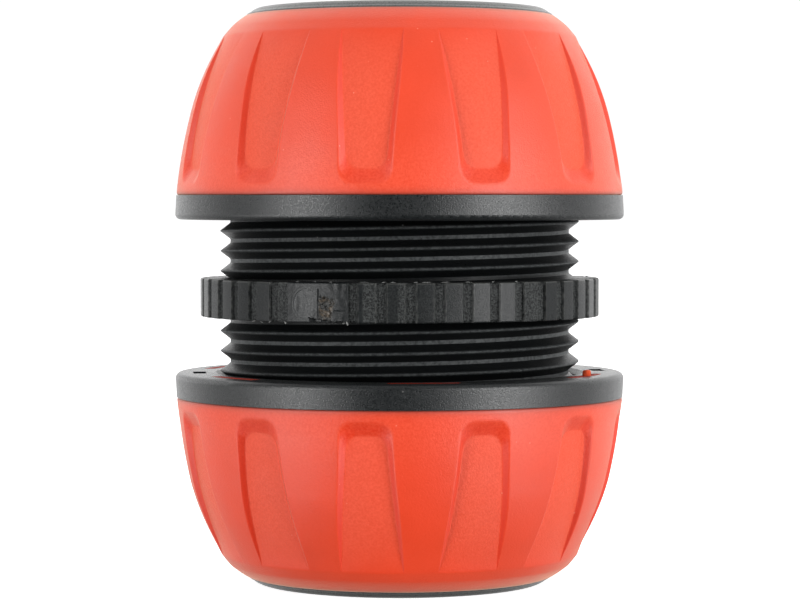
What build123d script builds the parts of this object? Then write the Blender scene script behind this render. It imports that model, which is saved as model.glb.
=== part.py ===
"""Hose mender for a 19 mm garden hose.

One ribbed centre moulding carries a threaded sleeve and a barbed hose tail at
each end. A domed nut screws on each sleeve: a hard core with an inside thread
and an inside cone, and a soft grip skin with twelve finger recesses moulded
over it. A split clamping ring lies in the cone of each nut.

Units are millimetres. +Z is up along the hose axis. The origin is at the
centre of the end on which the mender stands.
"""

import os
from math import atan2, cos, sin, sqrt

from build123d import *

os.makedirs("parts", exist_ok=True)

# ---------------------------------------------------------------- dimensions
# places along the axis
lower_rim_z = 21.10  # rim face of the lower nut; its far end stands at z = 0
collar_bottom_z = 26.73
collar_top_z = 30.54
upper_rim_z = 36.40  # rim face of the upper nut
nut_height = 21.10

# thread between sleeves and nuts, right hand on both ends
pitch = 2.0
crest_r = 18.0
root_r = 17.0
ridge_shoulder = 0.10  # upright part of the flank at the root
half_root = 0.93  # half width of the ridge at the root
half_crest = 0.08
thread_gap = 0.15  # radial play between nut and sleeve
crest_z_at_x = 0.3847  # height of one crest on the +X side
path_r = 5.0  # radius of the helix the thread sections follow
thread_turn = 75.0  # where round the axis a thread section begins

# centre moulding
collar_r = 20.0
collar_chamfer = 0.35
rib_count = 45
rib_phase = -90.0 - 0.95 + 4.0  # first groove, as an angle from +X
groove_width = 1.05
groove_depth = 0.40
sleeve_length = 11.75
sleeve_bore_r = 14.6
lead_in = 1.5
web_half = 1.45
tail_length = 22.0
tail_crest_r = 9.75
tail_root_r = 9.2
tail_barbs = 5
barb_pitch = 4.0
barb_land = 0.7
barb_rise = 2.6
waterway_r = 7.5

# nut core, measured from the rim face towards the narrow end
rim_r = 22.50
rim_back_r = 22.40
rim_height = 2.43
rim_fillet = 0.55
barrel_r = 19.2
nut_minor_r = root_r + thread_gap
thread_depth = 10.5
nut_crest_z_at_x = 1.98  # height in the nut of a sleeve crest on its +X side
nut_major_r = crest_r + thread_gap
barrel_end = 10.8
shoulder_r = 18.2
shoulder_z = 13.5
neck_r = 15.45
neck_z = 19.3
cone_start = 11.0
cone_start_r = 16.8
cone_end = 19.3
cone_end_r = 14.2
lip_bore_r = 13.0
lip_crest_r = 13.75
lip_flat = 0.25
skin_end_r = 14.97
skin_end_z = 20.62

# keys of the grip skin that fill windows in the rim
key_count = 6
key_phase = 36.6
key_half_angle = 10.0
key_in_r = 19.4
key_out_r = 20.6
key_proud = 0.03
slot_angles = (-53.4, 126.6)  # two small blind slots in the rim
slot_mid_r = 20.1
slot_radial = 1.3
slot_tangential = 3.2
slot_depth = 1.6
gate_angle = 156.6
gate_r = 20.0
gate_peg_r = 0.42
gate_peg_height = 0.55

# finger recesses of the grip skin
recess_count = 12
recess_phase = 21.6
recess_floor_start = 4.45  # edge of the floor at the rim end
recess_fade = 18.6  # where the floor meets the dome
floor_low_r = 21.20
floor_mid_r = 20.12
floor_mid_z = 11.8
floor_high_r = 17.36
recess_half_start = 2.05
recess_half_end = 2.90
recess_corner = 1.4
recess_draft = 15.0

# clamping ring, measured like the nut core
ring_start = 10.75
ring_end = 18.9
ring_band_end = 12.4
ring_r = 16.2
ring_gap = 0.15
ring_bore_r = 12.95
ring_tooth_r = 12.6
ring_slots = 8
ring_slot_width = 1.3
ring_turn = 11.0

# turn of the lower nut about its own axis that puts its thread in mesh
lower_turn = 226.8

mid_z = (collar_bottom_z + collar_top_z) / 2


def cone_r(z):
    """Radius of the nut's inside cone at depth z."""
    return cone_start_r + (cone_end_r - cone_start_r) * (z - cone_start) / (
        cone_end - cone_start
    )


# ------------------------------------------------------------ centre moulding
# the lower half, from the tip of its hose tail up to the middle of the collar
sleeve_low = collar_bottom_z - sleeve_length
turn_rise = pitch * thread_turn / 360
start_z = crest_z_at_x + pitch * int((sleeve_low - 2.2 - crest_z_at_x) / pitch)

with BuildPart() as sleeve_ridge:
    with BuildLine() as ridge_path:
        Helix(
            pitch,
            mid_z - half_root - 0.03 - turn_rise - start_z,
            path_r,
            center=(0, 0, start_z),
        )
    with BuildSketch(Plane.XZ) as ridge_section:
        with BuildLine():
            Polyline(
                (root_r - 0.8, start_z - half_root),
                (root_r + ridge_shoulder, start_z - half_root),
                (crest_r, start_z - half_crest),
                (crest_r, start_z + half_crest),
                (root_r + ridge_shoulder, start_z + half_root),
                (root_r - 0.8, start_z + half_root),
                close=True,
            )
        make_face()
    sweep(sections=ridge_section.sketch, path=ridge_path.line, is_frenet=True)

with BuildPart() as lower_half:
    tip_z = collar_bottom_z - tail_length
    tail = [(tail_root_r, mid_z - web_half)]
    for i in range(tail_barbs):
        step_z = tip_z + 1.6 + (tail_barbs - 1 - i) * barb_pitch
        tail.append((tail_root_r, step_z + barb_land))
        tail.append((tail_crest_r, step_z + barb_land))
        tail.append((tail_crest_r, step_z))
        if i < tail_barbs - 1:
            tail.append((tail_root_r, step_z - barb_rise))
    with BuildSketch(Plane.XZ):
        with BuildLine():
            Polyline(
                (collar_r, mid_z),
                (collar_r, collar_bottom_z + collar_chamfer),
                (collar_r - collar_chamfer, collar_bottom_z),
                (root_r, collar_bottom_z),
                (root_r, sleeve_low),
                (sleeve_bore_r, sleeve_low),
                (sleeve_bore_r, mid_z - web_half),
                *tail,
                (waterway_r + 1.1, tip_z),
                (waterway_r + 0.4, tip_z),
                (waterway_r, tip_z + 0.4),
                (waterway_r, mid_z),
                close=True,
            )
        make_face()
    revolve(axis=Axis.Z)
    # grip ribs: narrow grooves round the collar
    with BuildSketch(Plane.XY.offset(collar_bottom_z - 1)):
        with PolarLocations(collar_r, rib_count, start_angle=rib_phase):
            Rectangle(2 * groove_depth, groove_width)
    extrude(amount=mid_z - collar_bottom_z + 2, mode=Mode.SUBTRACT)
    # outside thread, which runs into the collar
    with Locations(Location((0, 0, turn_rise), (0, 0, thread_turn))):
        add(sleeve_ridge.part)
    # the free end is cut square with a lead-in chamfer
    with BuildSketch(Plane.XZ):
        with BuildLine():
            Polyline(
                (sleeve_bore_r - 1.6, sleeve_low),
                (crest_r - lead_in, sleeve_low),
                (crest_r + 1.0, sleeve_low + lead_in + 1.0),
                (crest_r + 2.0, sleeve_low + lead_in + 1.0),
                (crest_r + 2.0, sleeve_low - 6.0),
                (sleeve_bore_r - 1.6, sleeve_low - 6.0),
                close=True,
            )
        make_face()
    revolve(axis=Axis.Z, mode=Mode.SUBTRACT)
print(
    "half",
    lower_half.part.volume,
    lower_half.part.is_valid,
    len(lower_half.part.solids()),
)

# the upper half is the lower one turned over, so one helix runs through both
over_turn = 360 / pitch * ((2 * mid_z - 2 * crest_z_at_x) % pitch)
with BuildPart() as centre_body:
    add(lower_half.part)
    with Locations(Location((0, 0, 2 * mid_z), (180, 0, -over_turn))):
        add(lower_half.part)

centre_body.part.label = "centre_body"
print(
    "centre_body",
    centre_body.part.volume,
    centre_body.part.is_valid,
    len(centre_body.part.solids()),
)
export_step(centre_body.part, "parts/centre_body.step")

# ------------------------------------------------------------------- nut core
# modelled with its rim face at z = 0 and its narrow end up
plug_start_z = nut_crest_z_at_x - 4 * pitch

# the room that the sleeve's thread needs, with running clearance
with BuildPart() as plug_ridge:
    with BuildLine() as plug_path:
        Helix(
            pitch,
            thread_depth + 2.2 - plug_start_z,
            path_r,
            center=(0, 0, plug_start_z),
        )
    with BuildSketch(Plane.XZ) as plug_section:
        with BuildLine():
            Polyline(
                (nut_minor_r - 0.8, plug_start_z - half_root),
                (nut_minor_r + ridge_shoulder, plug_start_z - half_root),
                (nut_major_r, plug_start_z - half_crest),
                (nut_major_r, plug_start_z + half_crest),
                (nut_minor_r + ridge_shoulder, plug_start_z + half_root),
                (nut_minor_r - 0.8, plug_start_z + half_root),
                close=True,
            )
        make_face()
    sweep(sections=plug_section.sketch, path=plug_path.line, is_frenet=True)

with BuildPart() as thread_plug:
    with BuildSketch(Plane.XZ):
        with BuildLine():
            Polyline(
                (lip_bore_r - 1.0, -3.0),
                (nut_minor_r, -3.0),
                (nut_minor_r, thread_depth),
                (lip_bore_r - 1.0, thread_depth),
                close=True,
            )
        make_face()
    revolve(axis=Axis.Z)
    with Locations(Location((0, 0, turn_rise), (0, 0, thread_turn))):
        add(plug_ridge.part)
    for end_z, way in ((-3.0, -1), (thread_depth, 1)):
        with BuildSketch(Plane.XZ):
            with BuildLine():
                Polyline(
                    (lip_bore_r - 2.0, end_z),
                    (nut_major_r + 2.0, end_z),
                    (nut_major_r + 2.0, end_z + way * 9.0),
                    (lip_bore_r - 2.0, end_z + way * 9.0),
                    close=True,
                )
            make_face()
        revolve(axis=Axis.Z, mode=Mode.SUBTRACT)

# outline of one window in the rim, and of the key that fills it
with BuildSketch() as key_outline:
    with BuildLine():
        inner = CenterArc((0, 0), key_in_r, -key_half_angle, 2 * key_half_angle)
        outer = CenterArc((0, 0), key_out_r, -key_half_angle, 2 * key_half_angle)
        Line(inner @ 0, outer @ 0)
        Line(inner @ 1, outer @ 1)
    make_face()

with BuildPart() as nut_core:
    with BuildSketch(Plane.XZ):
        with BuildLine():
            Polyline(
                (lip_crest_r - lip_flat, nut_height),
                (lip_bore_r, nut_height - 0.35),
                (lip_bore_r, cone_end),
                (cone_end_r, cone_end),
                (cone_start_r, cone_start),
                (cone_start_r + 0.2, thread_depth),
                (cone_end_r, thread_depth),
                (cone_end_r, 0),
                (rim_r - rim_fillet, 0),
            )
            ThreePointArc(
                (rim_r - rim_fillet, 0),
                (
                    rim_r - rim_fillet * (1 - sqrt(0.5)),
                    rim_fillet * (1 - sqrt(0.5)),
                ),
                (rim_r, rim_fillet),
            )
            Polyline(
                (rim_r, rim_fillet),
                (rim_back_r, rim_height),
                (barrel_r, rim_height),
                (barrel_r, barrel_end),
                (shoulder_r, shoulder_z),
                (neck_r, neck_z),
                (skin_end_r, neck_z + 0.45),
                (skin_end_r, skin_end_z),
            )
            ThreePointArc(
                (skin_end_r, skin_end_z),
                (skin_end_r - 0.50, nut_height - 0.14),
                (lip_crest_r + lip_flat, nut_height),
            )
            Line(
                (lip_crest_r + lip_flat, nut_height),
                (lip_crest_r - lip_flat, nut_height),
            )
        make_face()
    revolve(axis=Axis.Z)
    # windows in the rim for the keys of the skin
    with BuildSketch():
        with PolarLocations(0, key_count, start_angle=key_phase):
            add(key_outline.sketch)
    extrude(amount=rim_height, mode=Mode.SUBTRACT)
    # two small blind slots between windows
    with BuildSketch():
        for angle in slot_angles:
            with PolarLocations(slot_mid_r, 1, start_angle=angle):
                Rectangle(slot_radial, slot_tangential)
    extrude(amount=slot_depth, mode=Mode.SUBTRACT)
    # inside thread
    add(thread_plug.part, mode=Mode.SUBTRACT, clean=False)
    # lead-in chamfer at the mouth
    with BuildSketch(Plane.XZ):
        with BuildLine():
            Polyline(
                (nut_minor_r - 1.0, -1.0),
                (nut_major_r + 1.35, -1.0),
                (nut_minor_r - 0.25, nut_major_r + 0.6 - nut_minor_r),
                (nut_minor_r - 1.0, nut_major_r + 0.6 - nut_minor_r),
                close=True,
            )
        make_face()
    revolve(axis=Axis.Z, mode=Mode.SUBTRACT, clean=False)
print(
    "nut_core",
    nut_core.part.volume,
    nut_core.part.is_valid,
    len(nut_core.part.solids()),
)

# ------------------------------------------------------------------ grip skin
# one finger recess: a drafted U-shaped pocket over a domed floor
lean = atan2(floor_low_r - floor_high_r, recess_fade - recess_floor_start)
recess_plane = Plane(
    origin=(floor_low_r, 0, recess_floor_start),
    x_dir=(0, 1, 0),
    z_dir=(cos(lean), 0, sin(lean)),
)
recess_length = recess_fade + 0.6 - recess_floor_start

with BuildPart() as recess:
    with BuildSketch(recess_plane):
        with BuildLine():
            Polyline(
                (-recess_half_start, recess_corner),
                (-recess_half_end, recess_length),
                (recess_half_end, recess_length),
                (recess_half_start, recess_corner),
            )
            ThreePointArc(
                (-recess_half_start, recess_corner),
                (
                    -recess_half_start + recess_corner * (1 - sqrt(0.5)),
                    recess_corner * (1 - sqrt(0.5)),
                ),
                (-recess_half_start + recess_corner, 0),
            )
            Line(
                (-recess_half_start + recess_corner, 0),
                (recess_half_start - recess_corner, 0),
            )
            ThreePointArc(
                (recess_half_start - recess_corner, 0),
                (
                    recess_half_start - recess_corner * (1 - sqrt(0.5)),
                    recess_corner * (1 - sqrt(0.5)),
                ),
                (recess_half_start, recess_corner),
            )
        make_face()
    extrude(amount=4.0, taper=-recess_draft)
    # the floor is a dome that rises to meet the land at the narrow end
    with BuildSketch(Plane.XZ):
        with BuildLine():
            Polyline(
                (floor_high_r - 0.75, recess_fade + 1.5),
                (floor_high_r - 8.0, recess_fade + 1.5),
                (floor_high_r - 8.0, recess_floor_start - 3.0),
                (floor_low_r + 0.4, recess_floor_start - 3.0),
            )
            ThreePointArc(
                (floor_low_r + 0.4, recess_floor_start - 3.0),
                (floor_mid_r, floor_mid_z),
                (floor_high_r - 0.75, recess_fade + 1.5),
            )
        make_face()
    revolve(axis=Axis.Z, mode=Mode.SUBTRACT)
print("recess", recess.part.volume, recess.part.is_valid, len(recess.part.solids()))

with BuildPart() as nut_grip:
    with BuildSketch(Plane.XZ):
        with BuildLine():
            Polyline(
                (rim_back_r, rim_height),
                (barrel_r, rim_height),
                (barrel_r, barrel_end),
                (shoulder_r, shoulder_z),
                (neck_r, neck_z),
                (skin_end_r, neck_z + 0.45),
                (skin_end_r, skin_end_z),
            )
            ThreePointArc((rim_back_r, rim_height), (21.84, 6.50), (20.93, 10.74))
            ThreePointArc((20.93, 10.74), (19.41, 15.00), (17.27, 18.74))
            ThreePointArc((17.27, 18.74), (16.10, 19.80), (skin_end_r, skin_end_z))
        make_face()
    revolve(axis=Axis.Z)
    with PolarLocations(0, recess_count, start_angle=recess_phase):
        add(recess.part, mode=Mode.SUBTRACT)
    # keys that lock the skin to the rim
    with BuildSketch(Plane.XY.offset(-key_proud)):
        with PolarLocations(0, key_count, start_angle=key_phase):
            add(key_outline.sketch)
    extrude(amount=key_proud + rim_height)
print(
    "nut_grip",
    nut_grip.part.volume,
    nut_grip.part.is_valid,
    len(nut_grip.part.solids()),
)

# the lower skin still carries the stub of its gate on one key
with BuildPart() as gated_grip:
    add(nut_grip.part)
    with BuildSketch(Plane.XY.offset(-key_proud - gate_peg_height)):
        with PolarLocations(gate_r, 1, start_angle=gate_angle):
            Circle(gate_peg_r)
    extrude(amount=gate_peg_height + 0.3)
print(
    "gated_grip",
    gated_grip.part.volume,
    gated_grip.part.is_valid,
    len(gated_grip.part.solids()),
)

# -------------------------------------------------------------- clamping ring
with BuildPart() as clamp_ring:
    with BuildSketch(Plane.XZ):
        with BuildLine():
            Polyline(
                (ring_bore_r, ring_start),
                (ring_r, ring_start),
                (ring_r, ring_band_end),
                (cone_r(ring_end) - ring_gap, ring_end),
                (ring_bore_r + 0.4, ring_end),
                (ring_tooth_r, ring_end - 0.6),
                (ring_tooth_r, ring_end - 0.8),
                (ring_bore_r, ring_end - 0.8),
                (ring_bore_r, ring_end - 1.4),
                (ring_tooth_r, ring_end - 2.0),
                (ring_tooth_r, ring_end - 2.2),
                (ring_bore_r, ring_end - 2.2),
                close=True,
            )
        make_face()
    revolve(axis=Axis.Z)
    with BuildSketch(Plane.XY.offset(ring_band_end)):
        with PolarLocations((ring_bore_r + ring_r) / 2, ring_slots, start_angle=ring_turn):
            Rectangle(ring_r - ring_bore_r + 4.0, ring_slot_width)
    extrude(amount=ring_end - ring_band_end + 1.0, mode=Mode.SUBTRACT)
print("clamp_ring", clamp_ring.part.volume, clamp_ring.part.is_valid)

# ------------------------------------------------------------ pieces in place
upper_place = Location((0, 0, upper_rim_z))
lower_place = Location((0, 0, lower_rim_z), (180, 0, lower_turn))

with BuildPart() as upper_nut_core:
    with Locations(upper_place):
        add(nut_core.part, clean=False)
upper_nut_core.part.label = "upper_nut_core"
export_step(upper_nut_core.part, "parts/upper_nut_core.step")

with BuildPart() as lower_nut_core:
    with Locations(lower_place):
        add(nut_core.part, clean=False)
lower_nut_core.part.label = "lower_nut_core"
export_step(lower_nut_core.part, "parts/lower_nut_core.step")

with BuildPart() as upper_nut_grip:
    with Locations(upper_place):
        add(nut_grip.part, clean=False)
upper_nut_grip.part.label = "upper_nut_grip"
export_step(upper_nut_grip.part, "parts/upper_nut_grip.step")

with BuildPart() as lower_nut_grip:
    with Locations(lower_place):
        add(gated_grip.part, clean=False)
lower_nut_grip.part.label = "lower_nut_grip"
export_step(lower_nut_grip.part, "parts/lower_nut_grip.step")

with BuildPart() as upper_collet:
    with Locations(upper_place):
        add(clamp_ring.part, clean=False)
upper_collet.part.label = "upper_collet"
export_step(upper_collet.part, "parts/upper_collet.step")

with BuildPart() as lower_collet:
    with Locations(lower_place):
        add(clamp_ring.part, clean=False)
lower_collet.part.label = "lower_collet"
export_step(lower_collet.part, "parts/lower_collet.step")
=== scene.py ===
"""Hose mender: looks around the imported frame.

Meshes are worked out in millimetres and put in place in metres. Angles round
the axis are in degrees from +X. Each nut is described from its rim face
towards its narrow end, and the lower nut is the same nut turned over.
"""

import math

import bmesh
import bpy
import numpy as np
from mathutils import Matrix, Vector


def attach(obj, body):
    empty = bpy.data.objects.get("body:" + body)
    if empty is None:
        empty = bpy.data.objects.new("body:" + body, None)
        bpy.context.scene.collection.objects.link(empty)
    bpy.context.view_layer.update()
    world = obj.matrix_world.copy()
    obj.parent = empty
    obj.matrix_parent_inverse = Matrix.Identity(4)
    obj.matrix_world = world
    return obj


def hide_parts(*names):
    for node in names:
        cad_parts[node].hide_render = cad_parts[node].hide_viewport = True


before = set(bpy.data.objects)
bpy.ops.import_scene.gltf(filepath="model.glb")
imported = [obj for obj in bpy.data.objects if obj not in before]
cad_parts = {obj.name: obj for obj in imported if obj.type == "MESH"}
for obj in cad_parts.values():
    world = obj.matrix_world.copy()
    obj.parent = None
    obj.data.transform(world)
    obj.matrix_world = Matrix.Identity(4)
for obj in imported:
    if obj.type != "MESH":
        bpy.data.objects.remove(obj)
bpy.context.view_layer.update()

MM = 0.001
LOWER_RIM = 21.10
UPPER_RIM = 36.40
LOWER_TURN = 226.8
COLLAR_LOW, COLLAR_HIGH = 26.73, 30.54
MID = (COLLAR_LOW + COLLAR_HIGH) / 2


# ------------------------------------------------------------------ mesh tools
def grid_faces(nc, nr, close_c=True, close_r=True, start=0):
    """Quads of a grid of nc columns by nr rows, wrapped where closed."""
    c = np.arange(nc if close_c else nc - 1)
    r = np.arange(nr if close_r else nr - 1)
    cc, rr = np.meshgrid(c, r, indexing="ij")
    c2, r2 = (cc + 1) % nc, (rr + 1) % nr
    q = np.stack([cc * nr + rr, c2 * nr + rr, c2 * nr + r2, cc * nr + r2], axis=-1)
    return q.reshape(-1, 4) + start


def volume_of(v, quads):
    a, b, c, d = (v[quads[:, i]] for i in range(4))
    t = np.einsum("ij,ij->i", a, np.cross(b, c)) + np.einsum("ij,ij->i", a, np.cross(c, d))
    return t.sum() / 6


class Pack:
    """Gathers closed grids into one mesh, with named values per point."""

    def __init__(self):
        self.v, self.q, self.extra, self.n = [], [], {}, 0

    def add(self, pts, quads, **values):
        pts = np.asarray(pts, float)
        quads = np.asarray(quads)
        if volume_of(pts, quads) < 0:
            quads = quads[:, ::-1]
        self.v.append(pts)
        self.q.append(quads + self.n)
        for k in set(self.extra) | set(values):
            have = self.extra.setdefault(k, [np.zeros(self.n)] if self.n else [])
            have.append(np.asarray(values.get(k, np.zeros(len(pts))), float).reshape(-1))
        self.n += len(pts)

    def grid(self, P, **values):
        """P is columns x rows x 3, closed both ways."""
        nc, nr = P.shape[:2]
        self.add(P.reshape(-1, 3), grid_faces(nc, nr), **values)

    def build(self, name, sharp=32.0, merge=1e-6):
        v = np.concatenate(self.v) * MM
        q = np.concatenate(self.q)
        me = bpy.data.meshes.new(name)
        me.vertices.add(len(v))
        me.vertices.foreach_set("co", v.ravel())
        me.loops.add(len(q) * 4)
        me.loops.foreach_set("vertex_index", q.ravel().astype(np.int32))
        me.polygons.add(len(q))
        me.polygons.foreach_set("loop_start", np.arange(0, len(q) * 4, 4, dtype=np.int32))
        me.update(calc_edges=True)
        for k, parts in self.extra.items():
            a = me.attributes.new(k, "FLOAT", "POINT")
            a.data.foreach_set("value", np.concatenate(parts).astype(np.float32))
        bm = bmesh.new()
        bm.from_mesh(me)
        bmesh.ops.remove_doubles(bm, verts=bm.verts, dist=merge)
        bmesh.ops.dissolve_degenerate(bm, edges=bm.edges, dist=merge * 0.5)
        bm.to_mesh(me)
        bm.free()
        me.update()
        me.shade_smooth()
        me.set_sharp_from_angle(angle=math.radians(sharp))
        ob = bpy.data.objects.new(name, me)
        bpy.context.scene.collection.objects.link(ob)
        return ob


def ring_points(r, z, phi):
    """r and z hold one value per row, or columns x rows; phi per column."""
    r, z = np.asarray(r, float), np.asarray(z, float)
    p = np.radians(np.asarray(phi, float))[:, None]
    if r.ndim == 1:
        r = np.broadcast_to(r, (len(p), len(r)))
    if z.ndim == 1:
        z = np.broadcast_to(z, (len(p), len(z)))
    return np.stack([r * np.cos(p), r * np.sin(p), z], axis=-1)


def to_upper(P):
    Q = np.array(P, float)
    Q[..., 2] += UPPER_RIM
    return Q


def to_lower(P):
    P = np.asarray(P, float)
    a = math.radians(LOWER_TURN)
    x = P[..., 0] * math.cos(a) - P[..., 1] * math.sin(a)
    y = P[..., 0] * math.sin(a) + P[..., 1] * math.cos(a)
    return np.stack([x, -y, LOWER_RIM - P[..., 2]], axis=-1)


def soft_step(t, low, high):
    """0 below 0, 1 above 1, straight between, rounded over +-low and +-high."""
    t = np.asarray(t, float)
    f = np.clip(t, 0, 1)
    f = np.where(np.abs(t) < low, (t + low) ** 2 / (4 * low), f)
    return np.where(np.abs(t - 1) < high, 1 - (1 - t + high) ** 2 / (4 * high), f)


def circle3(a, b, c):
    ax, ay, bx, by, cx, cy = *a, *b, *c
    d = 2 * (ax * (by - cy) + bx * (cy - ay) + cx * (ay - by))
    s = [p[0] ** 2 + p[1] ** 2 for p in (a, b, c)]
    ux = (s[0] * (by - cy) + s[1] * (cy - ay) + s[2] * (ay - by)) / d
    uy = (s[0] * (cx - bx) + s[1] * (ax - cx) + s[2] * (bx - ax)) / d
    return ux, uy, math.hypot(ax - ux, ay - uy)


# ------------------------------------------------------------------- grip skin
ARCS = (
    (10.74, circle3((22.40, 2.43), (21.84, 6.50), (20.93, 10.74))),
    (18.74, circle3((20.93, 10.74), (19.41, 15.00), (17.27, 18.74))),
    (99.0, circle3((17.27, 18.74), (16.10, 19.80), (14.97, 20.62))),
)
FLOOR_ARC = circle3((21.60, 1.45), (20.12, 11.8), (16.61, 20.1))


def dome_r(z):
    z = np.asarray(z, float)
    out = np.zeros_like(z)
    low = -99.0
    for top, (rc, zc, rad) in ARCS:
        m = (z > low) & (z <= top)
        out = np.where(m, rc + np.sqrt(np.maximum(rad**2 - (z - zc) ** 2, 0)), out)
        low = top
    return out


def eased_r(z):
    """The dome with its last corner rounded, as the moulding has it."""
    z = np.asarray(z, float)
    w = np.clip(1 - np.abs(z - 18.74) / 1.3, 0, 1)
    reach = 0.85 * w * w * (3 - 2 * w)
    return sum(dome_r(np.minimum(z + k * reach, 20.62)) for k in (-1.0, -0.5, 0.0, 0.5, 1.0)) / 5


def floor_r(z):
    rc, zc, rad = FLOOR_ARC
    return rc + np.sqrt(np.maximum(rad**2 - (np.asarray(z, float) - zc) ** 2, 0))


RECESSES = 12
RECESS_PHASE = 21.6
FLOOR_START = 4.95
LAND_START = 3.52
CORNER_FLOOR = 1.25
CORNER_LAND = 1.55
SKIN_END = 20.42


def floor_half(z):
    return 1.95 + 0.85 * np.clip((np.asarray(z, float) - 5.0) / 11.0, 0, 1.25)


def wall_run(z):
    return np.maximum((dome_r(z) - floor_r(z)) * 0.92, 0.04)


def u_distance(u, z, half, start, corner):
    """Signed distance from an upright U that is open at the top, inside < 0."""
    px = np.abs(u) - (half - corner)
    pz = (start + corner) - z
    return (
        np.hypot(np.maximum(px, 0), np.maximum(pz, 0))
        - corner
        + np.minimum(np.maximum(px, pz), 0)
    )


def grip_surface():
    """Outer skin, columns x rows: radius, height, angle, and what each point is."""
    zs = np.unique(
        np.concatenate(
            [
                np.linspace(2.43, 2.9, 8),
                np.linspace(2.9, 3.3, 4),
                np.linspace(3.3, 5.5, 34),
                np.linspace(5.5, 17.0, 40),
                np.linspace(17.0, 19.6, 22),
                np.linspace(19.6, 20.15, 5),
                np.linspace(20.15, SKIN_END, 6),
            ]
        )
    )
    edge = np.radians(180 / RECESSES)
    fl = np.linspace(0, 1, 8)[:-1]
    wl = np.linspace(0, 1, 12)[:-1]
    ld = np.linspace(0, 1, 14)
    ld = ld**1.35
    R = eased_r(zs)
    half = floor_half(zs)
    run = wall_run(zs)
    top = edge * R
    cols = []
    for s in fl:
        cols.append(s * (half - 0.10))
    for s in wl:
        cols.append(half - 0.10 + s * (run + 0.22))
    for s in ld:
        a = half + run + 0.12
        cols.append(a + s * (top - a))
    U = np.array(cols)  # half a sector, tangential millimetres
    U = np.concatenate([-U[:0:-1], U[:-1]])  # whole sector, one edge left out
    A = U / R[None, :]
    F = floor_r(zs)[None, :]
    D = R[None, :] - F
    Z = np.broadcast_to(zs, U.shape)
    dF = u_distance(U, Z, half[None, :], FLOOR_START, CORNER_FLOOR)
    dL = u_distance(U, Z, (half + run)[None, :], LAND_START, CORNER_LAND)
    gap = np.maximum(dF - dL, 0.03)
    t = dF / gap
    f = soft_step(t, 0.09, 0.16)
    live = np.clip(D / 0.02, 0, 1)
    rad = np.where(D > 0, F + D * f, R[None, :])
    floor = np.clip(0.9 - t * 5.0, 0, 1) * np.clip(D / 0.5, 0, 1)
    # wall marks the recess walls, where the rubber paints shade
    wall = np.clip(1.05 - np.abs(t - 0.5) * 2.0, 0, 1) ** 0.45 * live
    # rim marks a thin band along the recess edges, where the rubber paints a highlight
    rim = np.exp(-(((t - 1.02) * gap / 0.085) ** 2)) * np.clip(D / 0.12, 0, 1)
    phi = np.concatenate(
        [
            np.degrees(A) + RECESS_PHASE + k * 360 / RECESSES
            for k in range(RECESSES)
        ]
    )
    rep = lambda a: np.tile(a, (RECESSES, 1))
    return rep(rad), np.tile(zs, (len(phi), 1)), phi, rep(floor), rep(wall), rep(rim)


def grip_pack(place, seed, full=0.0, brow=0.10):
    """full: how much this moulding stands proud of the other one at mid height,
    brow: how much its rounded end does."""
    rad, z, phi, floor, wall, rim = grip_surface()
    rad = rad + full * np.clip((z - 5.0) / 6.0, 0, 1) * np.clip((SKIN_END - z) / 1.2, 0, 1)
    rad = rad + brow * np.exp(-(((z - 19.2) / 1.7) ** 2))
    p = np.radians(phi)
    rng = np.random.default_rng(seed)
    # moulding is never quite true: a slow swell of a few hundredths
    swell = np.zeros_like(rad)
    for k in (1, 2, 3, 5):
        a, b, c = rng.uniform(0, 2 * np.pi, 3)
        swell += 0.008 / k * np.sin(k * p + a) * np.sin(z * (0.25 + 0.12 * k) + b)
    rad = rad - 0.012 + swell * np.clip((z - 2.43) / 1.5, 0, 1)
    edge = np.clip(1 - (z - 2.43) / 0.42, 0, 1)
    rad = rad - 0.20 * (1 - np.sqrt(1 - edge**2))
    end = np.clip(1 - (SKIN_END - z) / 0.20, 0, 1)
    rad = rad - 0.10 * (1 - np.sqrt(1 - end**2))
    # painted shade: marks the creases next to the rim and next to the lip bead, where the rubber is darkened as if in
    # shadow
    crease = np.exp(-np.clip(z - 2.43, 0, None) / 0.26) + 0.8 * np.exp(-(SKIN_END - z) / 0.14)
    foot = np.clip((9.5 - z) / 4.5, 0, 1)
    outer = np.stack([rad * np.cos(p), rad * np.sin(p), z], axis=-1)
    inner = np.array(
        [(14.97, 19.75), (15.45, 19.3), (18.2, 13.5), (19.2, 10.8), (19.2, 2.43)]
    )
    pin = phi[:, -1]
    back = ring_points(inner[:, 0], inner[:, 1], pin)
    P = np.concatenate([outer, back], axis=1)
    pad = lambda a: np.concatenate([a, np.zeros((len(a), len(inner)))], axis=1)
    pack = Pack()
    pack.grid(place(P), floor=pad(floor), wall=pad(wall), rim=pad(rim), crease=pad(crease), foot=pad(foot))
    return pack


def lip_ring(place):
    """Black bead from the skin's end up over the rounded lip of the nut."""
    loop = np.array([
        (15.325, 20.340), (15.330, 20.410), (15.285, 20.480), (15.200, 20.545), (15.090, 20.600),
        (14.985, 20.636), (14.883, 20.727), (14.775, 20.810), (14.660, 20.885), (14.541, 20.951),
        (14.416, 21.007), (14.287, 21.054), (14.153, 21.078), (14.050, 20.950), (14.400, 20.600),
        (14.800, 20.200), (15.200, 20.200),
    ])
    pack = Pack()
    phi = np.linspace(0, 360, 216, endpoint=False)
    pack.grid(place(ring_points(loop[:, 0], loop[:, 1], phi)))
    return pack


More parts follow.
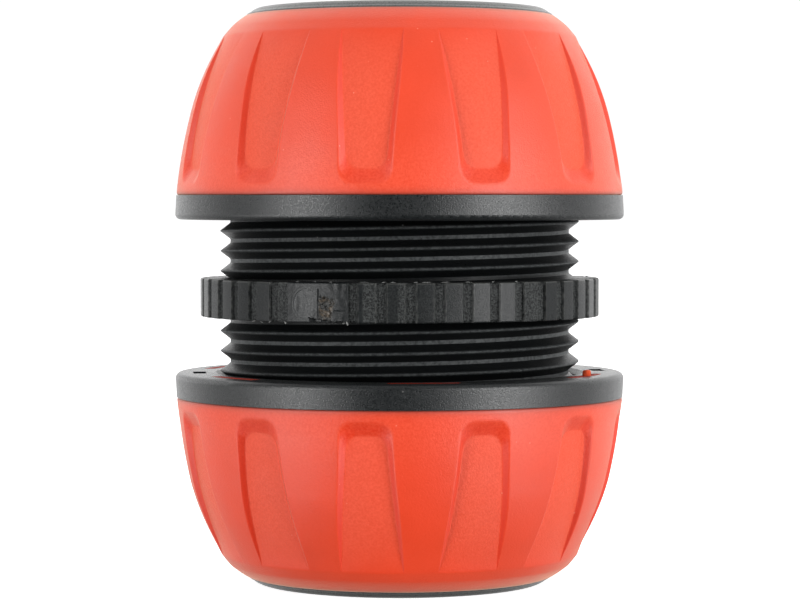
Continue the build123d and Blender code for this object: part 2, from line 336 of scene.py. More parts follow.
def key_pack(place, seed, stub=False):
    """Keys of the skin through the rim, edges eased."""
    pack = Pack()
    rng = np.random.default_rng(seed)
    b = 0.07
    for k in range(6):
        mid = 36.6 + 60 * k
        top = rng.uniform(-0.03, 0.03)
        loop = np.array(
            [
                (19.4, 2.6), (19.4, top + b), (19.4 + b * 0.3, top + b * 0.3),
                (19.4 + b, top), (20.6 - b, top), (20.6 - b * 0.3, top + b * 0.3),
                (20.6, top + b), (20.6, 2.6),
            ]
        )
        arc = np.concatenate([[-10, -9.93], np.linspace(-9.75, 9.75, 21), [9.93, 10]])
        drop = np.interp(np.abs(arc), [0, 9.75, 9.93, 10], [0, 0, b * 0.3, b])
        n, m = len(arc), len(loop)
        r = np.broadcast_to(loop[:, 0], (n, m))
        h = np.broadcast_to(loop[:, 1], (n, m)).copy()
        low = h < 1
        h = np.where(low, np.maximum(h, top + drop[:, None]), h)
        K = ring_points(r, h, arc + mid)
        quads = grid_faces(n, m, close_c=False)
        caps = []
        for c in (0, n - 1):
            i = c * m
            row = [[i, i + 1, i + 6, i + 7], [i + 1, i + 2, i + 5, i + 6], [i + 2, i + 3, i + 4, i + 5]]
            caps += row if c else [w[::-1] for w in row]
        pack.add(place(K.reshape(-1, 3)), np.concatenate([quads, np.array(caps)]), peg=np.zeros(n * m))
    if not stub:
        return pack
    # stub left by the gate, torn off short
    n = 20
    a = np.linspace(0, 360, n, endpoint=False)
    prof = np.array([(0.001, 0.2), (0.42, 0.2), (0.42, -0.25), (0.41, -0.42), (0.34, -0.54), (0.15, -0.55), (0.001, -0.51)])
    S = ring_points(prof[:, 0], prof[:, 1], a)
    S[..., 2] += np.where(prof[:, 1] < -0.3, 1, 0)[None, :] * 0.05 * np.sin(np.radians(a) + 1.0)[:, None]
    g = math.radians(156.6)
    S[..., 0] += 20.0 * math.cos(g)
    S[..., 1] += 20.0 * math.sin(g)
    pack.grid(place(S), peg=np.ones(S.shape[0] * S.shape[1]))
    return pack


# --------------------------------------------------------------------- sleeves
PITCH = 2.0
CREST_AT_X = 0.2297


THREAD = np.array([(0.0, 17.995), (0.04, 17.985), (0.09, 17.930), (0.13, 17.885), (0.17, 17.835), (0.26, 17.71),
                   (0.42, 17.50), (0.62, 17.24), (0.785, 17.04), (0.815, 17.01), (0.85, 17.0), (0.92, 17.0), (1.0, 17.0)])


def thread_r(s):
    """Radius of the thread, s millimetres from a crest along the axis."""
    s = np.abs((s + PITCH / 2) % PITCH - PITCH / 2)
    return np.interp(s, THREAD[:, 0], THREAD[:, 1])


def sleeve(up):
    """One threaded sleeve, rows laid along the helix and cut square at its ends."""
    z0, z1 = (COLLAR_HIGH - 0.6, COLLAR_HIGH + 11.75) if up else (COLLAR_LOW - 11.75, COLLAR_LOW + 0.6)
    n = 288
    phi = np.linspace(0, 360, n + 1)
    half = THREAD[:-1, 0]
    steps = np.concatenate([-half[:0:-1], half, [1.0]])
    turns = np.arange(int((z0 - 4) // PITCH), int((z1 + 4) // PITCH) + 1)
    rows = (turns[:, None] * PITCH + steps[None, :]).ravel()
    base = CREST_AT_X + phi[:, None] / 180.0
    z = np.clip(base + rows[None, :], z0, z1)
    free = z1 if up else z0
    s = z - base
    r = thread_r(s)
    r = np.minimum(r, 16.5 + np.abs(z - free))
    s = np.abs((s + PITCH / 2) % PITCH - PITCH / 2)
    # edge marks the crests and roots, which the thread material lightens as a painted highlight; it fades out close
    # to the collar face
    edge = np.clip((0.175 - s) / 0.07, 0, 0.95) + np.clip((s - 0.795) / 0.05, 0, 1)
    face = COLLAR_HIGH if up else COLLAR_LOW
    edge = edge * np.clip((np.abs(z - face) - 0.35) / 0.35, 0.1, 1)
    outer = ring_points(r, z, phi)
    ends = ring_points(np.array([14.6, 14.6]), np.array([z1, z0]), phi)
    P = np.concatenate([outer, ends], axis=1)
    edge = np.concatenate([edge, np.zeros((len(phi), 2))], axis=1)
    pack = Pack()
    nc, nr = P.shape[:2]
    pack.add(P.reshape(-1, 3), grid_faces(nc, nr, close_c=False), edge=edge, thread=np.ones(nc * nr))
    return pack


# ---------------------------------------------------------------------- collar
RIBS = 45
RIB_PHASE = -86.95
GATE = -116.2  # middle of the place where the moulding was cut from its runner
GATE_Z = 28.52


def ripple(u, w, seed, size, count=24):
    """A smooth random field of about unit height, from a fixed set of waves."""
    rng = np.random.default_rng(seed)
    out = np.zeros(np.broadcast(u, w).shape)
    for _ in range(count):
        a = rng.uniform(0, 2 * np.pi)
        k = 2 * np.pi / (size * rng.uniform(0.7, 1.6))
        out = out + np.sin(k * (u * math.cos(a) + w * math.sin(a)) + rng.uniform(0, 2 * np.pi))
    return out / math.sqrt(count / 2)


def collar():
    base = []
    for k in range(RIBS):
        c = RIB_PHASE + 8 * k
        h = math.degrees(0.525 / 20.0)
        t = np.array([-1.25, -1.12, -1.0, -0.88, -0.76, -0.62, -0.35, 0, 0.35, 0.62, 0.76, 0.88, 1.0, 1.12, 1.25]) * h
        base += list(c + t) + list(c + np.linspace(1.45 * h, 8 - 1.45 * h, 8))
    fine = np.arange(-123.5, -102.0, 0.11)
    phi = np.concatenate([np.array(base), fine])
    phi = np.unique(np.round((phi + 360) % 360, 3))
    keep = np.concatenate([[True], np.diff(phi) > 0.02])
    phi = phi[keep]
    span = COLLAR_HIGH - COLLAR_LOW
    q = np.radians(np.linspace(0, 90, 6))
    dz = np.concatenate([0.14 * (1 - np.cos(q)), 0.14 + 0.26 * np.linspace(0, 1, 6)[1:]])
    dz = np.concatenate([dz, np.linspace(0.40, span - 0.40, 46)[1:-1], (span - dz)[::-1]])
    zz = COLLAR_LOW + dz
    near = np.minimum(dz, span - dz)

    def rounded(level, e):
        return np.where(near < e, level - e + np.sqrt(np.maximum(e**2 - (e - near) ** 2, 0)), level)

    off = (phi - RIB_PHASE + 4) % 8 - 4
    which = np.floor((phi - RIB_PHASE) / 8).astype(int) % RIBS
    rng = np.random.default_rng(5)
    rib_grain = (rng.uniform(0.0, 1.0, RIBS) ** 2 * 0.5)[which]
    # some ribs are grained all over or on one side
    theta = (phi + 90 + 180) % 360 - 180
    for centre, start in ((-32.95, -4.0), (-8.95, -1.2), (-0.95, 0.5), (39.05, -4.0), (127.05, -4.0), (-112.95, -1.0), (167.05, 0.0), (-160.95, -4.0)):
        rib_grain = np.where((np.abs(theta - centre) < 3.2) & (theta - centre > start), 1.0, rib_grain)
    rib_lean = rng.uniform(-1, 1, RIBS)[which]
    a = np.abs(np.radians(off) * 20.0)
    g = soft_step((0.555 - a) / 0.15, 0.3, 0.35)
    lip = np.exp(-(((a - 0.56) / 0.06) ** 2))
    # place of the gate: ribs are missing there
    u = np.radians((phi - GATE + 180) % 360 - 180) * 20.0
    bare = np.clip((u + 2.15) / 0.12, 0, 1) * np.clip((4.25 - u) / 0.10, 0, 1)
    g = g * (1 - bare)
    G = np.broadcast_to(g[:, None], (len(phi), len(dz)))
    pads = rounded(20.0, 0.14)[None, :] - 0.02 * (1 - G) * (rib_lean * np.radians(off) * 20.0 / 1.4)[:, None] ** 2
    r = pads * (1 - G) + rounded(20.0 - 0.30, 0.34)[None, :] * G
    U, W = u[:, None], (zz - GATE_Z)[None, :]
    d = np.hypot(U, W)
    inside = bare[:, None] * np.ones_like(W)
    disc = np.clip((1.33 - d) / 0.05, 0, 1) * np.clip((1.16 - U) / 0.05, 0, 1)
    lips = np.exp(-(((d - 1.36) / 0.055) ** 2)) + 0.8 * np.exp(-(((d - 1.60) / 0.05) ** 2))
    lips = lips * np.clip((0.55 - U) / 0.4, 0, 1)
    groove_arc = np.exp(-(((d - 1.48) / 0.04) ** 2)) * np.clip((0.55 - U) / 0.4, 0, 1)
    step = np.exp(-(((U - 1.24) / 0.06) ** 2)) * np.clip((1.45 - np.abs(W)) / 0.15, 0, 1)
    patch = np.clip((U - 1.20) / 0.12, 0, 1) * np.clip((2.95 + 0.25 * W - U) / 0.25, 0, 1)
    patch = patch * np.clip((0.95 - 0.30 * (U - 1.2) - W) / 0.3, 0, 1)
    tear = ripple(U, W, 3, 0.42) * 0.045 + ripple(U, W, 4, 0.9) * 0.035
    line = np.exp(-(((W + 0.64) / 0.035) ** 2)) * np.clip((U - 2.55) / 0.1, 0, 1) * np.clip((4.15 - U) / 0.1, 0, 1)
    h = 0.012 * disc + 0.022 * lips - 0.008 * groove_arc - 0.07 * step
    h = h + patch * (tear - 0.075) - 0.045 * line + 0.006 * ripple(U, W, 8, 0.8) * inside
    # a slanting cut has taken the lower edge off beside the gate
    slash = (-1.32 - 0.125 * (U - 0.5)) - W + 0.03 * ripple(U, W, 9, 0.7)
    cut = np.clip(slash / 0.10, 0, 1) * np.clip((U - 0.2) / 0.25, 0, 1) * np.clip((4.1 - U) / 0.15, 0, 1)
    h = h - cut * 0.85
    r = r + h * inside
    # thin seam standing at the far side of the gate's land
    seam = np.exp(-(((U - 4.62) / 0.06) ** 2)) * 0.05
    r = r + seam
    mark = np.clip(patch, 0, 1) * inside * (1 - cut)
    smooth = (disc * 0.12 + lips * 1.2) * inside * (1 - cut)
    lip = lip[:, None] * (1 - inside) * (0.55 + 0.45 * ripple(U * 3, W, 21, 0.8))
    # painted highlight along the ribs' top edge, where it faces the top light; lip carries it with the lighter lines
    # along the rib sides
    top_edge_highlight = np.exp(-(((span - dz - 0.07) / 0.06) ** 2))[None, :] * (1 - G) * (1 - inside)
    lip = np.clip(lip + 0.9 * top_edge_highlight, 0, 1)
    grain = (rib_grain[:, None] * (1 - G)) * (1 - inside) + inside * 0.12 * (1 - disc)
    outer = ring_points(r, np.broadcast_to(zz, r.shape), phi)
    ends = ring_points(np.array([16.4, 16.4]), np.array([COLLAR_HIGH, COLLAR_LOW]), phi)
    P = np.concatenate([outer, ends], axis=1)
    pad = lambda v: np.concatenate([np.broadcast_to(v, r.shape), np.zeros((len(phi), 2))], axis=1)
    pack = Pack()
    pack.grid(P, groove=pad(G), scar=pad(mark), grain=pad(grain), smooth=pad(smooth), lip=pad(lip))
    return pack


def slivers():
    """Light grey slivers along the collar's edges. Those along the top edge at the front are a painted highlight, for
    the broken line of light where the thread runs out at the collar; the others are flecks of debris.
    """
    rng = np.random.default_rng(17)
    pack = Pack()
    top, low = COLLAR_HIGH + 0.02, COLLAR_LOW - 0.02
    # angle from the front, radius, height, length, thickness, lean
    bits = [
        (-30.2, 19.3, top, 0.30, 0.07, 10), (-25.0, 19.0, top, 0.20, 0.06, 0), (-19.5, 19.5, top, 0.26, 0.06, -8),
        (-10.0, 18.9, top, 1.15, 0.045, -3), (-4.4, 19.2, top, 0.42, 0.07, 6), (-1.9, 19.0, top, 0.50, 0.07, 0),
        (4.6, 19.1, top, 0.44, 0.07, 0), (6.9, 19.3, top, 0.40, 0.06, 4), (8.0, 19.4, top, 0.55, 0.07, 3),
        (13.2, 19.1, top, 0.85, 0.06, 2), (19.9, 19.2, top, 0.75, 0.07, 0), (27.0, 19.5, top, 0.3, 0.05, 5),
        (-33.2, 19.9, low, 0.34, 0.08, -60), (-14.4, 19.95, low, 0.46, 0.09, -70), (-15.3, 19.8, low, 0.4, 0.07, 15),
        (-42.0, 19.85, low, 0.5, 0.06, -20), (-45.0, 19.8, low, 0.6, 0.05, 12), (-38.5, 19.9, low, 0.35, 0.06, 35),
        (34.0, 19.9, top, 0.35, 0.06, -25), (101.0, 19.4, top, 0.5, 0.06, 10), (150.0, 19.2, top, 0.6, 0.06, 0),
        (-120.0, 19.3, top, 0.7, 0.06, 5), (-95.0, 19.8, low, 0.4, 0.07, 30), (171.0, 19.8, low, 0.5, 0.06, 18),
    ]
    for turn, r, z, size, thick, lean in bits:
        n, m = 14, 9
        t = np.linspace(-0.97, 0.97, n)
        girth = np.sqrt(1 - t**2) * (1 + 0.35 * rng.uniform(-1, 1, n))
        around = np.linspace(0, 2 * np.pi, m, endpoint=False)
        along = t * size / 2
        bend = 0.12 * size * rng.uniform(-1, 1) * t**2
        x = np.broadcast_to(along[:, None], (n, m))
        y = thick * girth[:, None] * np.cos(around)[None, :] * 1.3
        h = thick * 0.8 * girth[:, None] * np.sin(around)[None, :] + bend[:, None] + 0.02
        q = math.radians(lean)
        x, h = x * math.cos(q) - h * math.sin(q), x * math.sin(q) + h * math.cos(q)
        phi = math.radians(turn - 90)
        rr = r + y
        ang = phi + x / rr
        P = np.stack([rr * np.cos(ang), rr * np.sin(ang), z + h], axis=-1)
        quads = grid_faces(m, n, close_c=True, close_r=False)
        P = P.transpose(1, 0, 2)
        pts = P.reshape(-1, 3)
        ends = []
        for row in (0, n - 1):
            i = [c * n + row for c in range(m)]
            fan = [[i[0], i[k], i[k + 1], i[k + 2]] for k in range(1, m - 2, 2)]
            ends += [f[::-1] for f in fan] if row else fan
        # a triangle for the ninth point, given as a quad with one corner twice, is added only when m - 1 is odd, so
        # not for nine points
        for row in (0, n - 1):
            i = [c * n + row for c in range(m)]
            tri = [i[0], i[m - 2], i[m - 1], i[m - 1]]
            if (m - 1) % 2:
                ends.append(tri[::-1] if row else tri)
        pack.add(pts, np.concatenate([quads, np.array(ends)]), edge=np.ones(len(pts)))
    return pack


# ----------------------------------------------------------------------- tails
def tails():
    loop = []
    tip = COLLAR_LOW - 22.0
    half = [(14.9, MID - 1.45), (9.2, MID - 1.45)]
    for i in range(5):
        s = tip + 1.6 + (4 - i) * 4.0
        half += [(9.2, s + 0.78), (9.25, s + 0.70), (9.72, s + 0.70), (9.75, s + 0.66), (9.75, s + 0.03), (9.73, s)]
        if i < 4:
            half += [(9.2, s - 2.6)]
    half += [(8.7, tip + 0.05), (8.6, tip), (7.9, tip), (7.75, tip + 0.05), (7.5, tip + 0.4)]
    other = [(r, 2 * MID - z) for r, z in half[::-1]]
    loop = np.array(half + other)
    pack = Pack()
    phi = np.linspace(0, 360, 144, endpoint=False)
    pack.grid(ring_points(loop[:, 0], loop[:, 1], phi))
    return pack


# ------------------------------------------------------------------- materials
class Nodes:
    def __init__(self, name):
        self.mat = bpy.data.materials.new(name)
        self.mat.use_nodes = True
        self.t = self.mat.node_tree
        self.bsdf = self.t.nodes["Principled BSDF"]
        self.coord = self.t.nodes.new("ShaderNodeTexCoord").outputs["Object"]

    def node(self, kind, **inputs):
        n = self.t.nodes.new(kind)
        for k, v in inputs.items():
            self.put(n.inputs[k.replace("_", " ")], v)
        return n

    def put(self, socket, v):
        if isinstance(v, bpy.types.NodeSocket):
            self.t.links.new(v, socket)
        else:
            socket.default_value = v

    def noise(self, scale, detail=2.0, rough=0.5, distort=0.0, vec=None):
        n = self.node("ShaderNodeTexNoise", Vector=vec or self.coord)
        n.inputs["Scale"].default_value = scale
        n.inputs["Detail"].default_value = detail
        n.inputs["Roughness"].default_value = rough
        n.inputs["Distortion"].default_value = distort
        return n.outputs["Fac"]

    def cells(self, scale, feature="F1", random=1.0):
        n = self.node("ShaderNodeTexVoronoi", Vector=self.coord)
        n.feature = feature
        n.inputs["Scale"].default_value = scale
        n.inputs["Randomness"].default_value = random
        return n.outputs["Distance"]

    def attr(self, name):
        n = self.t.nodes.new("ShaderNodeAttribute")
        n.attribute_name = name
        return n.outputs["Fac"]

    def math(self, op, a, b=0.0, clamp=False):
        n = self.t.nodes.new("ShaderNodeMath")
        n.operation = op
        n.use_clamp = clamp
        self.put(n.inputs[0], a)
        self.put(n.inputs[1], b)
        return n.outputs[0]

    def remap(self, v, a, b, c=0.0, d=1.0):
        n = self.t.nodes.new("ShaderNodeMapRange")
        n.clamp = True
        for i, x in enumerate((v, a, b, c, d)):
            self.put(n.inputs[i], x)
        return n.outputs[0]

    def mix(self, f, a, b):
        n = self.t.nodes.new("ShaderNodeMix")
        n.data_type = "RGBA"
        self.put(n.inputs[0], f)
        for s, v in ((6, a), (7, b)):
            self.put(n.inputs[s], v if isinstance(v, bpy.types.NodeSocket) else (*v, 1.0))
        return n.outputs[2]

    def bump(self, height, distance, strength=1.0, after=None):
        n = self.t.nodes.new("ShaderNodeBump")
        n.inputs["Distance"].default_value = distance
        self.put(n.inputs["Strength"], strength)
        self.put(n.inputs["Height"], height)
        if after is not None:
            self.put(n.inputs["Normal"], after)
        return n.outputs["Normal"]

    def specks(self, scale, size, share, seed=0.0):
        """Rare round dots: 1 inside a speck, 0 elsewhere."""
        v = self.t.nodes.new("ShaderNodeTexVoronoi")
        v.feature = "F1"
        v.inputs["Scale"].default_value = scale
        shift = self.t.nodes.new("ShaderNodeVectorMath")
        shift.operation = "ADD"
        self.put(shift.inputs[0], self.coord)
        shift.inputs[1].default_value = (seed, seed * 1.7, seed * 0.3)
        self.put(v.inputs["Vector"], shift.outputs[0])
        sep = self.t.nodes.new("ShaderNodeSeparateColor")
        self.put(sep.inputs[0], v.outputs["Color"])
        chosen = self.math("LESS_THAN", sep.outputs[0], share)
        small = self.math("MULTIPLY", sep.outputs[1], size * 0.7)
        small = self.math("ADD", small, size * 0.3)
        inside = self.math("SUBTRACT", small, v.outputs["Distance"])
        inside = self.remap(inside, 0.0, size * 0.35)
        return self.math("MULTIPLY", inside, chosen)


def rubber_material(name, base, wall_shade, pale):
    m = Nodes(name)
    floor, wall, rim = m.attr("floor"), m.attr("wall"), m.attr("rim")
    crease, foot = m.attr("crease"), m.attr("foot")
    cloud = m.noise(170, 3, 0.55)
    mottle = m.noise(4200, 2, 0.6)
    col = m.mix(m.remap(cloud, 0.3, 0.7), [c * 0.96 for c in base], [min(1, c * 1.04) for c in base])
    col = m.mix(m.math("MULTIPLY", floor, 0.36), col, pale)
    # painted shade: recess walls darker red, as they face away from the light
    col = m.mix(m.math("MULTIPLY", wall, 0.95), col, wall_shade)
    grain = m.remap(mottle, 0.35, 0.65)
    grained = m.math("MAXIMUM", m.remap(floor, 0, 1, 0.06, 0.34), m.math("MULTIPLY", foot, 0.30))
    col = m.mix(m.math("MULTIPLY", grain, grained), col, [min(1, c * 1.2 + 0.03) for c in pale])
    # painted highlight along the recess edges
    col = m.mix(m.math("MULTIPLY", rim, 0.12), col, [min(1, c * 1.12 + 0.05) for c in base])
    dust = m.specks(1500, 0.13, 0.08, 0.013)
    fleck = m.specks(700, 0.10, 0.03, 0.041)
    col = m.mix(m.math("MULTIPLY", dust, 0.45), col, (0.90, 0.42, 0.30))
    col = m.mix(m.math("MULTIPLY", fleck, 0.4), col, (0.30, 0.02, 0.01))
    # painted shade in the creases at the rim and at the lip bead
    col = m.mix(m.math("MULTIPLY", crease, 0.92, clamp=True), col, (0.035, 0.012, 0.010))
    m.put(m.bsdf.inputs["Base Color"], col)
    rough = m.remap(floor, 0, 1, 0.48, 0.64)
    rough = m.math("ADD", rough, m.remap(cloud, 0.3, 0.7, -0.04, 0.05))
    m.put(m.bsdf.inputs["Roughness"], rough)
    m.bsdf.inputs["Specular IOR Level"].default_value = 0.52
    m.bsdf.inputs["Sheen Weight"].default_value = 0.56
    m.bsdf.inputs["Sheen Roughness"].default_value = 0.38
    m.bsdf.inputs["Sheen Tint"].default_value = (1.0, 0.77, 0.55, 1.0)
    amount = m.remap(floor, 0, 1, 0.55, 1.0)
    b = m.bump(m.noise(5600, 3, 0.65), 0.00006, amount)
    b = m.bump(m.noise(420, 2, 0.5), 0.00006, 0.35, b)
    m.put(m.bsdf.inputs["Normal"], b)
    return m.mat


def key_material():
    m = Nodes("rubber_keys")
    grain = m.noise(3800, 2, 0.6)
    col = m.mix(m.remap(grain, 0.35, 0.65), (0.30, 0.020, 0.008), (0.46, 0.034, 0.012))
    col = m.mix(m.attr("peg"), col, (0.62, 0.080, 0.026))
    m.put(m.bsdf.inputs["Base Color"], col)
    m.put(m.bsdf.inputs["Roughness"], m.remap(grain, 0.3, 0.7, 0.62, 0.80))
    m.bsdf.inputs["Specular IOR Level"].default_value = 0.12
    m.put(m.bsdf.inputs["Normal"], m.bump(grain, 0.00005, 0.8))
    return m.mat


def plastic_material(name, base, grain=1.0, rough=0.34, kind="nut"):
    m = Nodes(name)
    cloud = m.noise(150, 3, 0.55)
    edm = m.noise(7600, 2, 0.6)
    col = m.mix(m.remap(cloud, 0.3, 0.7), [c * 0.88 for c in base], [c * 1.12 for c in base])
    col = m.mix(m.remap(edm, 0.50, 0.66, 0.0, 0.6), col, [c * 2.4 for c in base])
    dust = m.specks(1100, 0.14, 0.05, 0.027)
    col = m.mix(m.math("MULTIPLY", dust, 0.45), col, (0.20, 0.195, 0.19))
    r = m.math("ADD", m.remap(edm, 0.35, 0.65, rough - 0.09, rough + 0.12), m.remap(cloud, 0.3, 0.7, -0.02, 0.02))
    amount = grain
    spec = 0.5
    if kind == "thread":
        # painted highlight: crests and roots lightened where they face outward, broken up by noise
        edge = m.attr("edge")
        crest_root_highlight = m.math("MULTIPLY", edge, m.remap(m.noise(3000, 3, 0.7), 0.38, 0.60, 0.35, 1.0))
        col = m.mix(m.math("MULTIPLY", crest_root_highlight, 0.95, clamp=True), col, (0.052, 0.056, 0.057))
        r = m.math("ADD", r, m.math("MULTIPLY", edge, 0.14))
        fluff = m.specks(620, 0.10, 0.05, 0.071)
        col = m.mix(m.math("MULTIPLY", fluff, 0.5), col, (0.30, 0.29, 0.28))
        spec = 0.11
    if kind == "body":
        groove, rib, mark, smooth = m.attr("groove"), m.attr("grain"), m.attr("scar"), m.attr("smooth")
        lip = m.attr("lip")
        coarse = m.noise(5600, 2, 0.65, 0.3)
        both = m.math("ADD", groove, rib, clamp=True)
        col = m.mix(m.math("MULTIPLY", both, 0.85), col, [c * 0.45 for c in base])
        col = m.mix(m.math("MULTIPLY", both, m.remap(coarse, 0.42, 0.62, 0.0, 0.85)), col, (0.050, 0.054, 0.053))
        col = m.mix(m.math("MULTIPLY", smooth, 0.8, clamp=True), col, (0.036, 0.039, 0.039))
        # lip: lighter lines along the rib edges, with a painted highlight along the top edge
        col = m.mix(m.math("MULTIPLY", lip, 0.6), col, (0.074, 0.076, 0.072))
        r = m.math("ADD", r, m.math("MULTIPLY", both, 0.24))
        amount = m.math("ADD", m.math("MULTIPLY", both, grain * 1.6), grain * 0.25)
        tone = m.mix(m.remap(m.noise(1500, 2, 0.6), 0.42, 0.58), (0.075, 0.074, 0.070), (0.105, 0.080, 0.056))
        col = m.mix(m.math("MULTIPLY", mark, m.remap(m.noise(3600, 2, 0.6), 0.35, 0.65, 0.10, 0.80)), col, tone)
        spec = 0.23
    m.put(m.bsdf.inputs["Base Color"], col)
    m.put(m.bsdf.inputs["Roughness"], r)
    m.bsdf.inputs["Specular IOR Level"].default_value = spec
    b = m.bump(edm, 0.000035, grain if kind != "body" else m.remap(amount, 0, 2, 0, 2))
    if kind == "body":
        b = m.bump(coarse, 0.00009, m.math("MULTIPLY", both, 0.9), b)
    b = m.bump(m.noise(300, 2, 0.5), 0.00004, 0.25, b)
    m.put(m.bsdf.inputs["Normal"], b)
    return m.mat


RUBBER_BASE = (0.70, 0.045, 0.0085)
# darker red for the recess walls: painted shade, not a different rubber
RUBBER_WALL_SHADE = (0.67, 0.028, 0.0025)
RUBBER_PALE = (0.71, 0.074, 0.021)
rubber_up = rubber_material("rubber_upper", RUBBER_BASE, RUBBER_WALL_SHADE, RUBBER_PALE)
# the lower nut has the same rubber; this darker copy is painted shade for the lower nut getting less light from above
rubber_down_shaded = rubber_material("rubber_lower_painted_shade", (0.68, 0.041, 0.0072), (0.64, 0.023, 0.0015), (0.69, 0.066, 0.018))
body_mat = plastic_material("body_plastic", (0.0076, 0.0088, 0.0093), kind="body")
# the threads are the same plastic as the collar; their darker base colour is painted shade, as the turns, the collar
# and the nuts shade them
thread_shaded_mat = plastic_material("thread_plastic_painted_shade", (0.0030, 0.0034, 0.0036), grain=0.5, rough=0.38, kind="thread")
nut_mat = plastic_material("nut_plastic", (0.0082, 0.0094, 0.0099))
# the bead is black plastic; this grey base colour is a painted highlight for the light it catches from above and
# behind
lip_highlight_mat = plastic_material("lip_plastic_painted_highlight", (0.058, 0.059, 0.056), rough=0.34)
sliver_mat = plastic_material("sliver_plastic", (0.15, 0.152, 0.148), grain=0.4, rough=0.5)
ring_mat = plastic_material("ring_plastic", (0.013, 0.014, 0.015), grain=0.5, rough=0.36)


def dress(ob, mat, body=None, node=None):
    ob.data.materials.clear()
    ob.data.materials.append(mat)
    if body:
        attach(ob, body)
    if node:
        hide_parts(node)
    return ob


# --------------------------------------------------------------------- pieces
upper_skin = grip_pack(to_upper, 11).build("upper_grip_skin")
lower_skin = grip_pack(to_lower, 23, full=0.16, brow=0.24).build("lower_grip_skin")
dress(upper_skin, rubber_up, "upper_nut", "upper_nut_grip")
dress(lower_skin, rubber_down_shaded, "lower_nut", "lower_nut_grip")

for which, place in (("upper", to_upper), ("lower", to_lower)):
    bead = lip_ring(place).build(which + "_lip_bead", sharp=50)
    dress(bead, lip_highlight_mat, which + "_nut", None)

keys_mat = key_material()
upper_keys = key_pack(to_upper, 31).build("upper_grip_keys")
lower_keys = key_pack(to_lower, 37, stub=True).build("lower_grip_keys")
dress(upper_keys, keys_mat, "upper_nut", "upper_nut_grip")
dress(lower_keys, keys_mat, "lower_nut", "lower_nut_grip")

collar_ob = collar().build("centre_collar", sharp=40)
dress(collar_ob, body_mat, "centre", "centre_body")
for up in (False, True):
    ob = sleeve(up).build("upper_sleeve" if up else "lower_sleeve", sharp=20)
    dress(ob, thread_shaded_mat, "centre", "centre_body")
dress(slivers().build("collar_slivers", sharp=60), sliver_mat, "centre", "centre_body")
dress(tails().build("hose_tails", sharp=30), body_mat, "centre", "centre_body")

for name, mat in (
    ("lower_nut_core", nut_mat),
    ("upper_nut_core", nut_mat),
    ("lower_collet", ring_mat),
    ("upper_collet", ring_mat),
):
    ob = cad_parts[name]
    for s in ob.material_slots:
        s.material = mat

# ---------------------------------------------------------------------- stage
scene = bpy.context.scene
bpy.ops.mesh.primitive_plane_add(size=6.0, location=(0, 0, 0))
floor_ob = bpy.context.object
floor_ob.name = "floor"
fm = Nodes("floor_paper")
fm.bsdf.inputs["Base Color"].default_value = (0.93, 0.93, 0.93, 1)
fm.bsdf.inputs["Roughness"].default_value = 0.9
fm.bsdf.inputs["Specular IOR Level"].default_value = 0.1
fm.bsdf.inputs["Emission Color"].default_value = (1, 1, 1, 1)
fm.bsdf.inputs["Emission Strength"].default_value = 0.80
floor_ob.data.materials.append(fm.mat)
# the light that the table would throw back comes from the world below instead
floor_ob.visible_diffuse = floor_ob.visible_glossy = floor_ob.visible_shadow = False
floor_ob.visible_transmission = floor_ob.visible_volume_scatter = False

world = bpy.data.worlds.new("studio")
scene.world = world
world.use_nodes = True
wt = world.node_tree
wt.nodes.clear()
out = wt.nodes.new("ShaderNodeOutputWorld")
tc = wt.nodes.new("ShaderNodeTexCoord")
sep = wt.nodes.new("ShaderNodeSeparateXYZ")
wt.links.new(tc.outputs["Generated"], sep.inputs[0])
side = wt.nodes.new("ShaderNodeMapRange")  # dim in front, bright behind
wt.links.new(sep.outputs["Y"], side.inputs[0])
for i, v in enumerate((-0.25, 0.60, 0.02, 1.75)):
    side.inputs[i + 1].default_value = v
under = wt.nodes.new("ShaderNodeMapRange")  # less from below
wt.links.new(sep.outputs["Z"], under.inputs[0])
for i, v in enumerate((-0.75, 0.05, 0.15, 1.0)):
    under.inputs[i + 1].default_value = v
both = wt.nodes.new("ShaderNodeMath")
both.operation = "MULTIPLY"
wt.links.new(side.outputs[0], both.inputs[0])
wt.links.new(under.outputs[0], both.inputs[1])
light_bg = wt.nodes.new("ShaderNodeBackground")
wt.links.new(both.outputs[0], light_bg.inputs["Strength"])
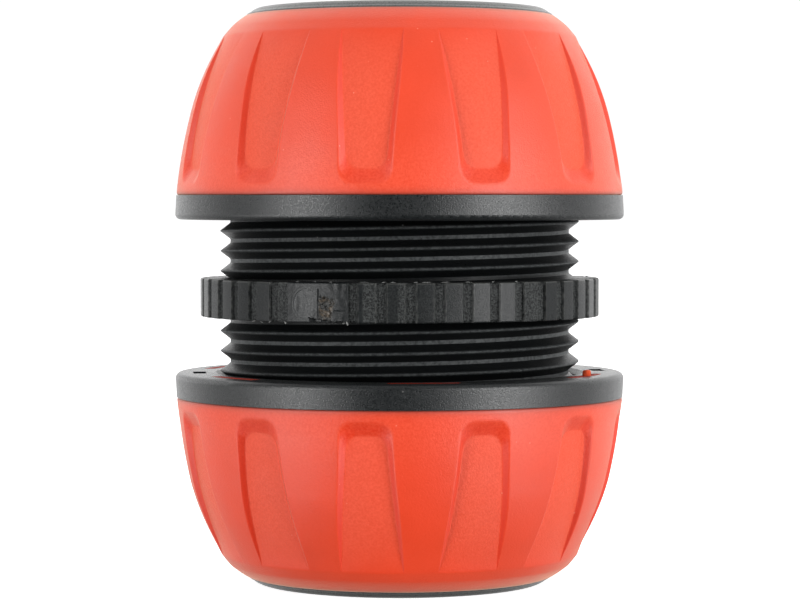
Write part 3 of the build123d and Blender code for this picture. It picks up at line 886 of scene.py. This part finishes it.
white_bg = wt.nodes.new("ShaderNodeBackground")
white_bg.inputs["Color"].default_value = (1, 1, 1, 1)
white_bg.inputs["Strength"].default_value = 1.05
light_bg.inputs["Color"].default_value = (1, 1, 1, 1)
lp = wt.nodes.new("ShaderNodeLightPath")
mixer = wt.nodes.new("ShaderNodeMixShader")
wt.links.new(lp.outputs["Is Camera Ray"], mixer.inputs[0])
wt.links.new(light_bg.outputs[0], mixer.inputs[1])
wt.links.new(white_bg.outputs[0], mixer.inputs[2])
wt.links.new(mixer.outputs[0], out.inputs["Surface"])

AIM = Vector((0, 0, 0.029))


def softbox(name, azimuth, elevation, distance, width, height, power):
    """azimuth 0 is in front, positive to the right."""
    a, e = math.radians(azimuth), math.radians(elevation)
    d = Vector((math.sin(a) * math.cos(e), -math.cos(a) * math.cos(e), math.sin(e)))
    data = bpy.data.lights.new(name, "AREA")
    data.shape = "RECTANGLE"
    data.size, data.size_y = width, height
    data.energy = power
    ob = bpy.data.objects.new(name, data)
    scene.collection.objects.link(ob)
    ob.location = AIM + d * distance
    ob.rotation_mode = "QUATERNION"
    ob.rotation_quaternion = (-d).to_track_quat("-Z", "Y")
    return ob


softbox("left_strip", -50, 4, 0.75, 0.20, 0.64, 4.7)
softbox("right_box", 51, 4, 0.75, 0.44, 0.64, 7.2)
softbox("top_box", 0, 78, 0.80, 0.75, 0.6, 0.9)
softbox("left_fill", -70, -20, 0.75, 0.40, 0.40, 1.5)
softbox("right_fill", 74, -16, 0.75, 0.40, 0.45, 0.9)

cam_data = bpy.data.cameras.new("camera")
cam = bpy.data.objects.new("camera", cam_data)
scene.collection.objects.link(cam)
cam.location = (0.00004, -0.308, 0.03868)
cam.rotation_euler = (math.radians(90 - 1.935), 0, 0)
cam_data.sensor_width = 36.0
cam_data.lens = 137.8
cam_data.clip_start, cam_data.clip_end = 0.01, 20
scene.camera = cam

scene.view_settings.view_transform = "Standard"
scene.view_settings.look = "None"
scene.view_settings.exposure = 0.0
scene.view_settings.gamma = 1.0
